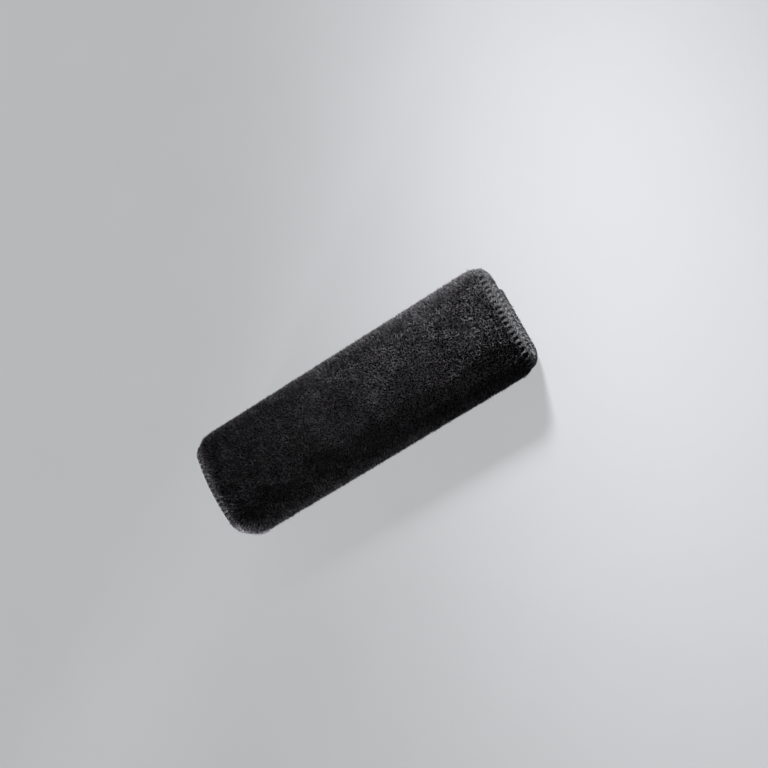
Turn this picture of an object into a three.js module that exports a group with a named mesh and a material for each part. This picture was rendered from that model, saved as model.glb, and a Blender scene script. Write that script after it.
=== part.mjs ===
// Seat belt shoulder pad: a padded plush panel that wraps round into a flat sleeve and closes along its back
// with hook and loop tape. The panel is plush fabric, thin foam and a smooth lining, and its four cut edges are
// bound with overlock thread.
//
// Sizes are in millimetres. X runs along the pad and Y across it, and +Z is the plush front. The pad lies on
// its closed back, and the origin is under its middle, on the surface that it rests on.
//
// The wall of the pad is laid out on a path, seen along X: from the inner flap's edge along the back of the
// slot, round the narrow fold, over the crowned front, round the wide fold, and along the outer flap to its
// edge. A place in the wall is given by its distance along that path, its depth outwards from the lining's
// bare face, and its share of the way from the middle of the pad to its end: -1 on the left, 1 on the right.

import * as THREE from "three";

// The slot: the width that it is made to take and the room beside that, its height, and how far its front
// arches up
const beltWidth = 47;
const beltSideRoom = 1;
const slotHeight = 6;
const frontCrown = 3;

// The panel's length, and its plies from the slot outwards
const padLength = 228;
const liningThickness = 0.7;
const foamThickness = 3;
const backingThickness = 0.8;
const pileHeight = 6;
const plyGap = 0.1;

// How the pile stands: it is held down by the seams and inside the closure, springs up beside them, grows
// longer towards the left end, gathers in uneven tufts, and is pressed flat where the pad lies on it
const seamPile = 2.4;
const closurePile = 1;
const pileRise = 4.5;
const napFlare = 0.1;
const tuftRelief = 0.4;
const tuftSpacing = 5;
const restPress = 1;

// The pad's ends draw back where the wall folds
const foldSetback = 5;
const foldSetbackStart = 24;

// The closure: the outer flap laps over the inner one, with loop tape on one and hook tape on the other
const loopTapeWidth = 25;
const loopTapeThickness = 1;
const hookTapeWidth = 20;
const hookTapeBase = 0.6;
const hookHeight = 0.6;
const hookRowPitch = 2;
const hookRowWidth = 1;
const tapeSideMargin = 7;
const tapeEndMargin = 12;

// The overlock thread round the cut edges
const threadThickness = 0.6;
const stitchRidge = 0.4;
const stitchPitch = 3.4;
const seamLap = 4;
const seamLapInside = 3.5;
const seamClearance = 0.3;

// How the pile's faces crowd together beside a seam, and how far into the gap between two plies a flat face
// may cut across a turn, as a share of that gap
const riseShares = [0, 0.06, 0.25, 0.6, 1];
const chordShare = 0.8;

// What follows from these sizes
const halfLength = padLength / 2;
const slotHalfHeight = slotHeight / 2;
const straightHalf = beltWidth / 2 + beltSideRoom - slotHalfHeight;
const foamDepth = liningThickness + plyGap;
const plushDepth = foamDepth + foamThickness + plyGap;
const pileDepth = plushDepth + backingThickness;
const tipDepth = pileDepth + pileHeight;
const loopTapeDepth = pileDepth + closurePile + plyGap;
const hookTapeThickness = hookTapeBase + hookHeight;
const outerFlapDepth = loopTapeDepth + loopTapeThickness + plyGap + hookTapeThickness + plyGap;
const wideFoldRadius = slotHalfHeight + outerFlapDepth / 2;
const overlapWidth = loopTapeWidth + 2 * tapeSideMargin;
const outerFlapEdgeY = overlapWidth - straightHalf;
const outerFlapZ = -slotHalfHeight - outerFlapDepth;
const cutEdge = threadThickness + seamClearance;
const pileEdge = seamLap + seamClearance;
const coveredLength = straightHalf + outerFlapEdgeY + seamClearance;

// The front is an arc over the slot. Both folds are arcs that run smoothly into it, so their centres lie as
// far inside its own centre's circle as they are round.
const frontRadius = slotHalfHeight + (straightHalf ** 2 + frontCrown ** 2) / (2 * frontCrown);
const frontCentreZ = slotHalfHeight + frontCrown - frontRadius;
const wideFoldCentreZ = outerFlapZ + wideFoldRadius;
const wideFoldCentreY = -Math.sqrt(
  (frontRadius - wideFoldRadius) ** 2 - (wideFoldCentreZ - frontCentreZ) ** 2,
);
const frontStartAngle = Math.atan2(-frontCentreZ, straightHalf);
const frontEndAngle = Math.atan2(wideFoldCentreZ - frontCentreZ, wideFoldCentreY);

// The path of the lining's bare face, as straight runs and turns. Each gives its length at a depth in the
// wall, and the place and outward direction at a share of that length.
const straightRun = (fromY, toY, z, outwardZ) => ({
  faces: 1,
  lengthAt: () => Math.abs(toY - fromY),
  at: (share) => ({ y: fromY + (toY - fromY) * share, z, outY: 0, outZ: outwardZ }),
});

// The faces round a turn are narrow enough for none of them to cut through the gap between two plies.
const turn = (centreY, centreZ, radius, fromAngle, toAngle) => ({
  faces: Math.ceil(
    (toAngle - fromAngle) / 2 / Math.acos(1 - (chordShare * plyGap) / (radius + pileDepth + seamPile)),
  ),
  lengthAt: (depth) => (toAngle - fromAngle) * (radius + depth),
  at: (share) => {
    const angle = fromAngle + (toAngle - fromAngle) * share;
    const [outY, outZ] = [Math.cos(angle), Math.sin(angle)];
    return { y: centreY + radius * outY, z: centreZ + radius * outZ, outY, outZ };
  },
});

const wallPath = [
  straightRun(-straightHalf, straightHalf, -slotHalfHeight, -1),
  turn(straightHalf, 0, slotHalfHeight, -Math.PI / 2, frontStartAngle),
  turn(0, frontCentreZ, frontRadius, frontStartAngle, frontEndAngle),
  turn(wideFoldCentreY, wideFoldCentreZ, wideFoldRadius, frontEndAngle, (3 * Math.PI) / 2),
  straightRun(wideFoldCentreY, outerFlapEdgeY, outerFlapZ, -1),
];
const pathLengthAt = (depth) => wallPath.reduce((sum, part) => sum + part.lengthAt(depth), 0);
const pathLength = pathLengthAt(0);

const clamp01 = (value) => Math.min(1, Math.max(0, value));
const smoothStep = (value) => clamp01(value) ** 2 * (3 - 2 * clamp01(value));

function onPath(along) {
  let left = along;
  for (const part of wallPath.slice(0, -1)) {
    if (left <= part.lengthAt(0)) return part.at(left / part.lengthAt(0));
    left -= part.lengthAt(0);
  }
  return wallPath.at(-1).at(left / wallPath.at(-1).lengthAt(0));
}

// The distance along the path of what lies at a distance along the wall, measured at some depth in it.
function alongFrom(distance, depth) {
  let [left, along] = [distance, 0];
  for (const part of wallPath) {
    if (left <= part.lengthAt(depth)) return along + (left / part.lengthAt(depth)) * part.lengthAt(0);
    left -= part.lengthAt(depth);
    along += part.lengthAt(0);
  }
  return pathLength;
}

// The reverse: a distance along the wall at some depth, of what lies at a distance along the path.
function distanceTo(along, depth) {
  let [left, distance] = [along, 0];
  for (const part of wallPath) {
    distance += Math.min(1, left / part.lengthAt(0)) * part.lengthAt(depth);
    left = Math.max(0, left - part.lengthAt(0));
  }
  return distance;
}

// Distances along the path at which a smooth ply needs points: the ends of each run, and round the folds.
const smoothStations = [0];
for (const part of wallPath) {
  const start = smoothStations.at(-1);
  for (let face = 1; face <= part.faces; face++) {
    smoothStations.push(start + (part.lengthAt(0) * face) / part.faces);
  }
}

// How far the pad reaches along X at a place in its section, and a point of its wall.
const widestY = wideFoldRadius + tipDepth - wideFoldCentreY;
function reachAt(y) {
  const pastStart = clamp01((Math.abs(y) - foldSetbackStart) / (widestY - foldSetbackStart));
  return halfLength - foldSetback * pastStart ** 2;
}

function wallPoint(along, depth, share) {
  const { y, z, outY, outZ } = onPath(along);
  const pointY = y + outY * depth;
  return new THREE.Vector3(share * reachAt(pointY), pointY, z + outZ * depth);
}

const shareFromEnd = (fromEnd) => 1 - fromEnd / halfLength;

// Even steps between two distances, without the first and the last of them.
function evenSteps(from, to, step) {
  const count = Math.max(1, Math.round((to - from) / step));
  return Array.from({ length: count - 1 }, (_, i) => from + ((to - from) * (i + 1)) / count);
}

// A side of a sheet: a grid of points, with marks for how far along and across the sheet each line of it is.
function sheetSide(rows, columns, pointAt) {
  return { rows, columns, points: rows.map((row) => columns.map((column) => pointAt(row, column))) };
}

// A closed solid between the inner and outer sides of a sheet, whose grids may differ.
function sheetGeometry(...sides) {
  const positions = [];
  const index = [];
  const addFace = (flip, a, b, c) => index.push(...(flip ? [a, c, b] : [a, b, c]));

  const [inner, outer] = sides.map((side, number) => {
    const start = positions.length / 3;
    positions.push(...side.points.flat().flatMap((point) => point.toArray()));
    const at = (row, column) => start + row * side.columns.length + column;
    const isInner = number === 0;
    for (let row = 0; row + 1 < side.rows.length; row++) {
      for (let column = 0; column + 1 < side.columns.length; column++) {
        addFace(isInner, at(row, column), at(row, column + 1), at(row + 1, column + 1));
        addFace(isInner, at(row, column), at(row + 1, column + 1), at(row + 1, column));
      }
    }
    const [lastRow, lastColumn] = [side.rows.length - 1, side.columns.length - 1];
    return {
      firstRow: { marks: side.columns, at: (i) => at(0, i) },
      lastRow: { marks: side.columns, at: (i) => at(lastRow, i) },
      firstColumn: { marks: side.rows, at: (i) => at(i, 0) },
      lastColumn: { marks: side.rows, at: (i) => at(i, lastColumn) },
    };
  });

  // An edge face joins the two sides, and steps along whichever of them is behind.
  const joinEdge = (edge, flip) => {
    const [from, to] = [inner[edge], outer[edge]];
    let [i, j] = [0, 0];
    while (i + 1 < from.marks.length || j + 1 < to.marks.length) {
      if ((from.marks[i + 1] ?? Infinity) <= (to.marks[j + 1] ?? Infinity)) {
        addFace(flip, from.at(i), from.at(i + 1), to.at(j));
        i++;
      } else {
        addFace(flip, from.at(i), to.at(j + 1), to.at(j));
        j++;
      }
    }
  };
  joinEdge("firstRow", false);
  joinEdge("lastRow", true);
  joinEdge("firstColumn", true);
  joinEdge("lastColumn", false);

  const geometry = new THREE.BufferGeometry();
  geometry.setAttribute("position", new THREE.Float32BufferAttribute(positions, 3));
  geometry.setIndex(index);
  geometry.computeVertexNormals();
  return geometry;
}

// The cut edges of the plies stand a little in from the bound edges of the flaps. A ply's faces are divided
// where the seams that lap over it in the slot stop.
const lapEnd = seamLapInside + seamClearance;
const plyStations = [cutEdge, lapEnd, ...smoothStations.slice(1, -1), pathLength - cutEdge];

// A smooth ply between two depths.
function plyGeometry(innerDepth, outerDepth) {
  const [cut, lap] = [shareFromEnd(cutEdge), shareFromEnd(lapEnd)];
  const sideAt = (depth) =>
    sheetSide([-cut, -lap, lap, cut], plyStations, (share, along) => wallPoint(along, depth, share));
  return sheetGeometry(sideAt(innerDepth), sideAt(outerDepth));
}

// Beside whatever holds it down, the pile stands up in a quarter ellipse.
const springUp = (distance) => Math.sqrt(1 - (1 - clamp01(distance / pileRise)) ** 2);

// The height of the pile under a seam, which is less as far as the outer flap covers the inner one
const heldPileAt = (along) =>
  closurePile + (seamPile - closurePile) * smoothStep((along - coveredLength) / pileRise);

// Random shares from 0 to 1, which come out the same each time.
const randomMultiplier = 16807;
const randomModulus = 2 ** 31 - 1;
let randomState = 2024;
function randomShare() {
  randomState = (randomState * randomMultiplier) % randomModulus;
  return randomState / randomModulus;
}

function pileAt(along, share) {
  const held = heldPileAt(along);
  const free =
    springUp(halfLength * (1 - Math.abs(share)) - pileEdge) *
    springUp(pathLength - along - pileEdge) *
    springUp(along - coveredLength);
  const length = pileHeight * (1 - napFlare * share) + tuftRelief * (2 * randomShare() - 1);
  return held + (length - held) * free;
}

// Where the outer side of the plush has its points. Its steps crowd together where the pile springs up. Over
// the rest there is one for each tuft, evenly at the pile's tips, which spread apart round the folds.
const riseSteps = riseShares.map((share) => share * pileRise);
const uncoveredStations = riseSteps.map((step) => coveredLength + step);

function plushStations() {
  const lastTip = pathLengthAt(tipDepth) - pileEdge - pileRise;
  return [
    cutEdge,
    ...uncoveredStations,
    ...evenSteps(distanceTo(coveredLength + pileRise, tipDepth), lastTip, tuftSpacing).map((tip) =>
      alongFrom(tip, tipDepth),
    ),
    ...riseSteps.toReversed().map((step) => pathLength - pileEdge - step),
    pathLength - cutEdge,
  ];
}

function plushShares() {
  const right = [
    cutEdge,
    ...riseSteps.map((step) => pileEdge + step),
    ...evenSteps(pileEdge + pileRise, halfLength, tuftSpacing),
  ].map(shareFromEnd);
  return [...right.map((share) => -share), 0, ...right.toReversed()];
}

// The plush: its knitted backing lies on the foam, and the pile stands out from it.
function plushGeometry() {
  const cut = shareFromEnd(cutEdge);
  const restZ = outerFlapZ - tipDepth + restPress;
  const inner = sheetSide([-cut, cut], plyStations, (share, along) => wallPoint(along, plushDepth, share));
  const outer = sheetSide(plushShares(), plushStations(), (share, along) => {
    const point = wallPoint(along, pileDepth + pileAt(along, share), share);
    point.z = Math.max(point.z, restZ);
    return point;
  });
  return sheetGeometry(inner, outer);
}

// The section of the overlock binding, wrapped over a cut edge. Both of its sides start on the lining and go
// round the edge to the plush. Each place lies off the lining or off the held pile, at a distance in from the
// edge. raised is how much of the stitch's ridge it takes, and slant how many stitches its ridge lags behind.
const bindingInside = [
  { onPlush: false, off: plyGap, inwards: seamLapInside },
  { onPlush: false, off: plyGap, inwards: threadThickness },
  { onPlush: false, off: -plushDepth, inwards: threadThickness },
  { onPlush: true, off: plyGap, inwards: threadThickness },
  { onPlush: true, off: plyGap, inwards: seamLap },
];
const bindingOutside = [
  { onPlush: false, off: plyGap + threadThickness, inwards: seamLapInside },
  { onPlush: false, off: plyGap, inwards: 0 },
  { onPlush: false, off: -plushDepth, inwards: 0 },
  { onPlush: true, off: 0, inwards: 0 },
  { onPlush: true, off: plyGap + threadThickness, inwards: threadThickness, raised: 0.6 },
  { onPlush: true, off: plyGap + threadThickness, inwards: seamLap / 2, raised: 1, slant: 0.25 },
  { onPlush: true, off: plyGap + threadThickness / 2, inwards: seamLap, slant: 0.5 },
];

// Marks for the places of a side of the section, by their distance along it as a share of its length.
function sectionMarks(places) {
  const distances = [0];
  for (let i = 1; i < places.length; i++) {
    const [from, to] = [places[i - 1], places[i]];
    const rise = from.onPlush === to.onPlush ? to.off - from.off : pileDepth + seamPile + to.off + from.off;
    distances.push(distances.at(-1) + Math.hypot(rise, to.inwards - from.inwards));
  }
  return distances.map((distance) => distance / distances.at(-1));
}

// A binding along a run of stitches, with a ridge and a hollow for each, or pressed smooth where it has none.
// smoothShares are where its inner side needs points. placeAt gives the place in the wall at a share of the
// run and a distance in.
function bindingGeometry(stitches, smoothShares, placeAt) {
  const halfStitches = Array.from({ length: 2 * stitches + 1 }, (_, i) => i / (2 * stitches));
  const ridgeHeight = stitches > 0 ? stitchRidge : 0;
  const sideOf = (places, runShares) => {
    const marks = sectionMarks(places);
    return sheetSide(runShares, marks, (runShare, mark) => {
      const { onPlush, off, inwards, raised = 0, slant = 0 } = places[marks.indexOf(mark)];
      const ridge = raised * ridgeHeight * Math.abs(Math.cos(Math.PI * (runShare * stitches - slant)));
      const { along, share } = placeAt(runShare, inwards);
      return wallPoint(along, onPlush ? pileDepth + heldPileAt(along) + off + ridge : -off, share);
    });
  };
  const outerShares = stitches > 0 ? halfStitches : smoothShares;
  return sheetGeometry(sideOf(bindingInside, smoothShares), sideOf(bindingOutside, outerShares));
}

// The binding round one end of the pad follows the whole wall, from flap edge to flap edge. Its stitches are
// evenly spaced in the middle of the wall, which neither stretches nor shrinks at the folds.
function endBinding(end) {
  const neutralDepth = plushDepth;
  const runLength = pathLengthAt(neutralDepth);
  const turned = (runShare) => (end > 0 ? runShare : 1 - runShare);
  const smoothShares = [...smoothStations, ...uncoveredStations]
    .map((along) => turned(distanceTo(along, neutralDepth) / runLength))
    .sort((a, b) => a - b);
  return bindingGeometry(Math.round(runLength / stitchPitch), smoothShares, (runShare, inwards) => ({
    along: alongFrom(turned(runShare) * runLength, neutralDepth),
    share: end * shareFromEnd(inwards),
  }));
}

// The binding along a flap's edge runs between the two end bindings. Inside the closure it is pressed smooth.
function flapBinding(isInnerFlap) {
  const lastShare = shareFromEnd(pileEdge) * (isInnerFlap ? 1 : -1);
  const stitches = isInnerFlap ? 0 : Math.round((2 * (halfLength - pileEdge)) / stitchPitch);
  return bindingGeometry(stitches, [0, 1], (runShare, inwards) => ({
    along: isInnerFlap ? inwards : pathLength - inwards,
    share: (2 * runShare - 1) * lastShare,
  }));
}

// A strip of tape, from its outline across the pad, seen along X.
function tapeGeometry(outline) {
  const length = padLength - 2 * tapeEndMargin;
  const section = new THREE.Shape(outline);
  const geometry = new THREE.ExtrudeGeometry(section, { depth: length, bevelEnabled: false });
  geometry.translate(0, 0, -length / 2);
  const acrossUpAlong = new THREE.Matrix4().makeBasis(
    new THREE.Vector3(0, 1, 0),
    new THREE.Vector3(0, 0, 1),
    new THREE.Vector3(1, 0, 0),
  );
  return geometry.applyMatrix4(acrossUpAlong);
}

// Loop tape: a woven strip whose napped face is rounded off at both sides.
function loopTapeGeometry() {
  const [half, shoulder] = [loopTapeWidth / 2, loopTapeThickness / 2];
  return tapeGeometry([
    new THREE.Vector2(-half, 0),
    new THREE.Vector2(-half, -shoulder),
    new THREE.Vector2(-half + shoulder, -loopTapeThickness),
    new THREE.Vector2(half - shoulder, -loopTapeThickness),
    new THREE.Vector2(half, -shoulder),
    new THREE.Vector2(half, 0),
  ]);
}

// Hook tape: a woven base with rows of hooks along it, shown as ribs.
function hookTapeGeometry() {
  const half = hookTapeWidth / 2;
  const rows = Math.floor((hookTapeWidth - hookRowWidth) / hookRowPitch);
  const outline = [
    new THREE.Vector2(-half, 0),
    new THREE.Vector2(half, 0),
    new THREE.Vector2(half, hookTapeBase),
  ];
  for (let row = rows - 1; row >= 0; row--) {
    const middle = (row - (rows - 1) / 2) * hookRowPitch;
    const [right, left] = [middle + hookRowWidth / 2, middle - hookRowWidth / 2];
    outline.push(
      new THREE.Vector2(right, hookTapeBase),
      new THREE.Vector2(right, hookTapeThickness),
      new THREE.Vector2(left, hookTapeThickness),
      new THREE.Vector2(left, hookTapeBase),
    );
  }
  outline.push(new THREE.Vector2(-half, hookTapeBase));
  return tapeGeometry(outline);
}

// Finishes, as they look on the pad
const plushFinish = { color: 0x1c1c1e, roughness: 0.9, metalness: 0 };
const foamFinish = { color: 0x3a3a3c, roughness: 1, metalness: 0 };
const liningFinish = { color: 0x232325, roughness: 0.7, metalness: 0 };
const threadFinish = { color: 0x4a4a4d, roughness: 0.6, metalness: 0 };
const tapeFinish = { color: 0x19191b, roughness: 0.8, metalness: 0 };

function piece(name, geometry, finish) {
  const mesh = new THREE.Mesh(geometry, new THREE.MeshStandardMaterial(finish));
  mesh.name = name;
  return mesh;
}

const panel = new THREE.Group();
panel.add(
  piece("plush_fabric", plushGeometry(), plushFinish),
  piece("foam_layer", plyGeometry(foamDepth, foamDepth + foamThickness), foamFinish),
  piece("lining", plyGeometry(0, liningThickness), liningFinish),
  piece("overlock_right_end", endBinding(1), threadFinish),
  piece("overlock_left_end", endBinding(-1), threadFinish),
  piece("overlock_outer_flap", flapBinding(false), threadFinish),
  piece("overlock_inner_flap", flapBinding(true), threadFinish),
);

// The tapes lie between the flaps, along the middle of the overlap.
const loopTape = piece("loop_tape", loopTapeGeometry(), tapeFinish);
const hookTape = piece("hook_tape", hookTapeGeometry(), tapeFinish);
const closure = new THREE.Group();
closure.position.y = outerFlapEdgeY - overlapWidth / 2;
loopTape.position.z = -slotHalfHeight - loopTapeDepth;
hookTape.position.z = outerFlapZ + plyGap;
closure.add(loopTape, hookTape);
panel.add(closure);

// The wall is drawn about the middle of the slot, so the panel is set down on Z = 0, centred on the origin.
const bounds = new THREE.Box3().setFromObject(panel);
const middle = bounds.getCenter(new THREE.Vector3());
panel.position.set(-middle.x, -middle.y, -bounds.min.z);

const shoulderPad = new THREE.Group();
shoulderPad.add(panel);

export default shoulderPad;
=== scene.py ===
"""Seat belt shoulder pad: a plush, foam and lining panel that wraps round into a flat sleeve and closes along
its back.

The solids give the structure. This script gives the looks: the cut pile as real fibres over a dark bed, the
overlock threads round the cut edges, the lining inside the slot, and the finish of every surface.

A place in the pad's wall is given as the solids give it: by its distance along a path seen along X (from the
inner flap's edge along the back of the slot, round the narrow fold, along the front, round the wide fold and
along the outer flap), by its depth outwards from the lining's bare face, and by its share of the way from the
middle of the pad to its end, from -1 on the left to 1 on the right. Everything is in metres.
"""

import bpy
import numpy as np
from mathutils import Matrix, Vector


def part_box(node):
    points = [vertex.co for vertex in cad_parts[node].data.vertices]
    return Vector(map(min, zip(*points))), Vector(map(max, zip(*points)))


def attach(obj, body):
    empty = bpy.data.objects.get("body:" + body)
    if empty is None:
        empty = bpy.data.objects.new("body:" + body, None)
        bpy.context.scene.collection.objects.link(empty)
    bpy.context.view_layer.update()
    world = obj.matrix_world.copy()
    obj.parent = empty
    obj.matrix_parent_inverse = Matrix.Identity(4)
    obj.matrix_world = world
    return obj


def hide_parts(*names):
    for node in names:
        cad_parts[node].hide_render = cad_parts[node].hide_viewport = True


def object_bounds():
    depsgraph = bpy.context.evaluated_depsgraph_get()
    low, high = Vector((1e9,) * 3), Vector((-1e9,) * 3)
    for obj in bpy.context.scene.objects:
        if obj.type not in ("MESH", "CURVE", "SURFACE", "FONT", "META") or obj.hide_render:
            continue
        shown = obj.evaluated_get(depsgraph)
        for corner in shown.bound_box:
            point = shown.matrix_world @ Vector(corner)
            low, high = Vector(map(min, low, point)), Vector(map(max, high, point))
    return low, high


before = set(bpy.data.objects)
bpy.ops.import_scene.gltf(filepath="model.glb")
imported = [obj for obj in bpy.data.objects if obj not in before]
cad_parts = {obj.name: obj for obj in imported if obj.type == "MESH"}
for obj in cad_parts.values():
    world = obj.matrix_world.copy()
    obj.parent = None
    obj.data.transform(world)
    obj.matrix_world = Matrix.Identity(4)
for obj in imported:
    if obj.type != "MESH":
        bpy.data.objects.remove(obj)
cad_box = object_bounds()

MM = 0.001

# The slot, whose front arches up by its crown, and the panel's plies from the slot outwards
SLOT_HEIGHT = 6 * MM
SLOT_WIDTH = 49 * MM
FRONT_CROWN = 3 * MM
LINING = 0.7 * MM
FOAM = 3 * MM
BACKING = 0.8 * MM
PILE = 6 * MM
PLY_GAP = 0.1 * MM

# The pile: how high it stands where a seam or the closure holds it down, how far it takes to spring up
# beside them, and how much longer it grows towards the left end
SEAM_PILE = 2.4 * MM
CLOSURE_PILE = 1 * MM
PILE_RISE = 4.5 * MM
NAP_FLARE = 0.1

# The pad's ends draw back where the wall folds
FOLD_SETBACK = 5 * MM
FOLD_SETBACK_START = 24 * MM

# The closure's overlap, and the depth that its tapes and the pile between them take up
OVERLAP_WIDTH = 39 * MM
CLOSURE_DEPTH = 3.5 * MM

# The overlock seam: how far it laps over the plush and over the lining, and its stitches
SEAM_LAP = 4 * MM
SEAM_LAP_INSIDE = 3.5 * MM
SEAM_CLEARANCE = 0.3 * MM
THREAD = 0.6 * MM
STITCH_PITCH = 3.4 * MM

# Each kind of piece draws its random numbers from its own seed.
PILE_SEED = 2024
SEAM_SEED = 7
LINING_SEED = 5

# What follows from these sizes, and from where the solids are
HALF_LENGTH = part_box("overlock_right_end")[1].x
STRAIGHT_HALF = (SLOT_WIDTH - SLOT_HEIGHT) / 2
PLUSH_DEPTH = LINING + PLY_GAP + FOAM + PLY_GAP
PILE_DEPTH = PLUSH_DEPTH + BACKING
TIP_DEPTH = PILE_DEPTH + PILE
WIDE_FOLD_RADIUS = (SLOT_HEIGHT + PILE_DEPTH + CLOSURE_DEPTH) / 2
FLAP_EDGE_Y = OVERLAP_WIDTH - STRAIGHT_HALF
FLAP_Z = SLOT_HEIGHT / 2 - 2 * WIDE_FOLD_RADIUS
FRONT_RADIUS = SLOT_HEIGHT / 2 + (STRAIGHT_HALF ** 2 + FRONT_CROWN ** 2) / (2 * FRONT_CROWN)
FRONT_CENTRE_Z = SLOT_HEIGHT / 2 + FRONT_CROWN - FRONT_RADIUS
WIDE_FOLD_Z = FLAP_Z + WIDE_FOLD_RADIUS
WIDE_FOLD_Y = -np.sqrt((FRONT_RADIUS - WIDE_FOLD_RADIUS) ** 2 - (WIDE_FOLD_Z - FRONT_CENTRE_Z) ** 2)
FRONT_START = np.arctan2(-FRONT_CENTRE_Z, STRAIGHT_HALF)
FRONT_END = np.arctan2(WIDE_FOLD_Z - FRONT_CENTRE_Z, WIDE_FOLD_Y)
CUT_EDGE = THREAD + SEAM_CLEARANCE
PILE_EDGE = SEAM_LAP + SEAM_CLEARANCE
COVERED = OVERLAP_WIDTH + SEAM_CLEARANCE
LOOP_TAPE_Y = sum(corner.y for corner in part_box("loop_tape")) / 2
SLOT_CENTRE = np.array([
    0,
    LOOP_TAPE_Y - (FLAP_EDGE_Y - OVERLAP_WIDTH / 2),
    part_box("hook_tape")[0].z - PLY_GAP - FLAP_Z,
])


class StraightRun:
    """A straight run of the path. Its outward side faces up or down."""

    def __init__(self, from_y, to_y, z, outward_z):
        self.from_y, self.to_y, self.z, self.outward_z = from_y, to_y, z, outward_z

    def length_at(self, depth):
        return abs(self.to_y - self.from_y)

    def at(self, share):
        y = self.from_y + (self.to_y - self.from_y) * share
        return y, self.z + 0 * share, 0 * share, self.outward_z + 0 * share


class Turn:
    """A round stretch of the path. Its outward side faces away from the centre that it turns about."""

    def __init__(self, centre_y, centre_z, radius, from_angle, to_angle):
        self.centre_y, self.centre_z, self.radius = centre_y, centre_z, radius
        self.from_angle, self.angle = from_angle, to_angle - from_angle

    def length_at(self, depth):
        return self.angle * (self.radius + depth)

    def at(self, share):
        angle = self.from_angle + self.angle * share
        out_y, out_z = np.cos(angle), np.sin(angle)
        return self.centre_y + self.radius * out_y, self.centre_z + self.radius * out_z, out_y, out_z


WALL_PATH = [
    StraightRun(-STRAIGHT_HALF, STRAIGHT_HALF, -SLOT_HEIGHT / 2, -1),
    Turn(STRAIGHT_HALF, 0, SLOT_HEIGHT / 2, -np.pi / 2, FRONT_START),
    Turn(0, FRONT_CENTRE_Z, FRONT_RADIUS, FRONT_START, FRONT_END),
    Turn(WIDE_FOLD_Y, WIDE_FOLD_Z, WIDE_FOLD_RADIUS, FRONT_END, 3 * np.pi / 2),
    StraightRun(WIDE_FOLD_Y, FLAP_EDGE_Y, FLAP_Z, -1),
]


def part_ends(depth):
    """How far along the wall each part of the path starts and ends, measured at a depth."""
    return np.cumsum([0] + [part.length_at(depth) for part in WALL_PATH])


def along_from(distance, depth):
    """The distance along the path of what lies at a distance along the wall, measured at a depth."""
    return np.interp(distance, part_ends(depth), part_ends(0))


def distance_to(along, depth):
    """The reverse: a distance along the wall at a depth, of what lies at a distance along the path."""
    return np.interp(along, part_ends(0), part_ends(depth))


PATH_LENGTH = part_ends(0)[-1]
WIDEST_Y = WIDE_FOLD_RADIUS + TIP_DEPTH - WIDE_FOLD_Y


def clamp01(value):
    return np.clip(value, 0, 1)


def smooth_step(value):
    return clamp01(value) ** 2 * (3 - 2 * clamp01(value))


def on_path(along):
    """The place and the outward direction at distances along the path."""
    along = np.asarray(along, float)
    places = np.zeros(along.shape + (4,))
    starts = part_ends(0)
    for part, start, end in zip(WALL_PATH, starts, starts[1:]):
        here = (along >= start) | (start == 0)
        places[here] = np.stack(part.at((along[here] - start) / (end - start)), axis=-1)
    return np.moveaxis(places, -1, 0)


def reach_at(y):
    """How far the pad reaches along X at a place in its section."""
    past_start = clamp01((np.abs(y) - FOLD_SETBACK_START) / (WIDEST_Y - FOLD_SETBACK_START))
    return HALF_LENGTH - FOLD_SETBACK * past_start ** 2


def wall_point(along, depth, share):
    along, depth, share = np.broadcast_arrays(along, depth, share)
    y, z, out_y, out_z = on_path(along)
    point_y = y + out_y * depth
    return np.stack([share * reach_at(point_y), point_y, z + out_z * depth], axis=-1) + SLOT_CENTRE


def spring_up(distance):
    """Beside whatever holds it down, the pile stands up in a quarter ellipse."""
    return np.sqrt(1 - (1 - clamp01(distance / PILE_RISE)) ** 2)


def held_pile(along):
    """The height of the pile under a seam, which is less as far as the outer flap covers the inner one."""
    return CLOSURE_PILE + (SEAM_PILE - CLOSURE_PILE) * smooth_step((along - COVERED) / PILE_RISE)


def pile_height(along, share):
    held = held_pile(along)
    from_end = HALF_LENGTH * (1 - np.abs(share)) - PILE_EDGE
    free = spring_up(from_end) * spring_up(PATH_LENGTH - along - PILE_EDGE) * spring_up(along - COVERED)
    return held + (PILE * (1 - NAP_FLARE * share) - held) * free


# The waves that a random field is summed from: how many they are, how much longer or shorter than its
# wavelength, and how far their sum reaches as a multiple of its spread
WAVE_COUNT = 9
WAVE_STRETCH = (0.7, 1.5)
WAVE_REACH = 1.6


def random_waves(rng, wavelength):
    """A smooth random field over two distances, from about -1 to 1: a sum of waves in all directions."""
    angles = rng.uniform(0, 2 * np.pi, WAVE_COUNT)
    phases = rng.uniform(0, 2 * np.pi, WAVE_COUNT)
    numbers = 2 * np.pi / (wavelength * rng.uniform(*WAVE_STRETCH, WAVE_COUNT))

    def field(first, second):
        waves = [
            np.sin(number * (first * np.cos(angle) + second * np.sin(angle)) + phase)
            for angle, phase, number in zip(angles, phases, numbers)
        ]
        return np.sum(waves, axis=0) * np.sqrt(2 / WAVE_COUNT) / WAVE_REACH

    return field


# Meshes

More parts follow.
